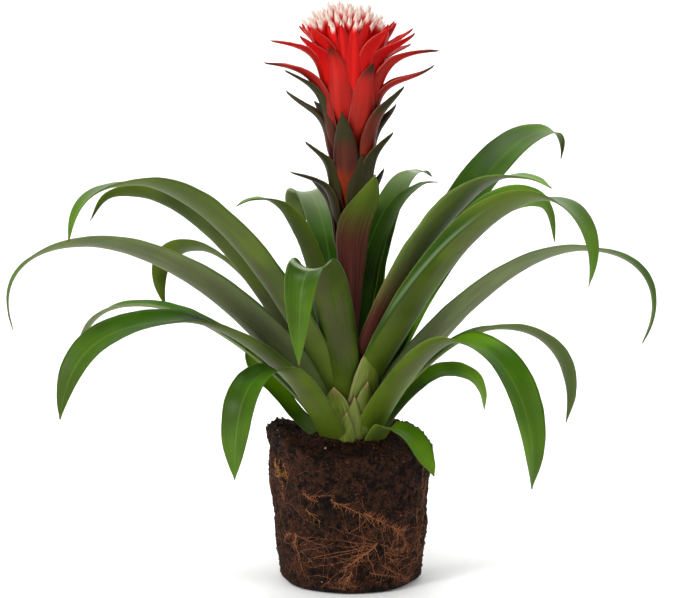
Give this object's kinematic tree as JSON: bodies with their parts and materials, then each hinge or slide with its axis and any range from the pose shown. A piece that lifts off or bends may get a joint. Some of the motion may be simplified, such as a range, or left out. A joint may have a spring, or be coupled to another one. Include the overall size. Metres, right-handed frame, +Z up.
{
  "type": "bromeliad plant with bare root ball",
  "caption": "Flowering bromeliad lifted from its pot: an arching rosette of strap leaves, a leafy stalk with a red, white-tipped flower head, and a pot-shaped root ball it stands on.",
  "frame": {"origin": "centre of the root ball's flat underside", "axes": "+Z up along the flower stalk, -Y towards the front of the plant as pictured, +X to the right in the picture"},
  "size_m": [0.453, 0.3738, 0.4263],
  "materials": {
    "soil": "matte",
    "root": "matte",
    "leaf": "satin",
    "sheath": "satin",
    "stalk_bract": "satin",
    "head_bract": "satin"
  },
  "bodies": {
    "root": {"root_ball": "soil", "roots": "root", "flower_stalk": "stalk_bract", "flower_head": "head_bract", "leaf_01": "leaf", "leaf_02": "leaf", "leaf_03": "leaf", "leaf_04": "leaf", "leaf_05": "leaf", "leaf_06": "leaf", "leaf_07": "leaf", "leaf_08": "leaf", "leaf_09": "leaf", "leaf_10": "leaf", "leaf_11": "leaf", "leaf_12": "leaf", "leaf_13": "leaf", "leaf_14": "leaf", "leaf_15": "leaf", "leaf_16": "leaf", "leaf_17": "leaf", "leaf_18": "leaf", "leaf_19": "leaf", "leaf_20": "leaf", "leaf_21": "leaf", "leaf_22": "leaf", "leaf_23": "leaf", "leaf_24": "leaf", "leaf_25": "leaf", "leaf_26": "leaf", "leaf_27": "leaf", "leaf_28": "leaf", "base_scale_1": "sheath", "base_scale_2": "sheath", "base_scale_3": "sheath"}
  },
  "joints": []
}
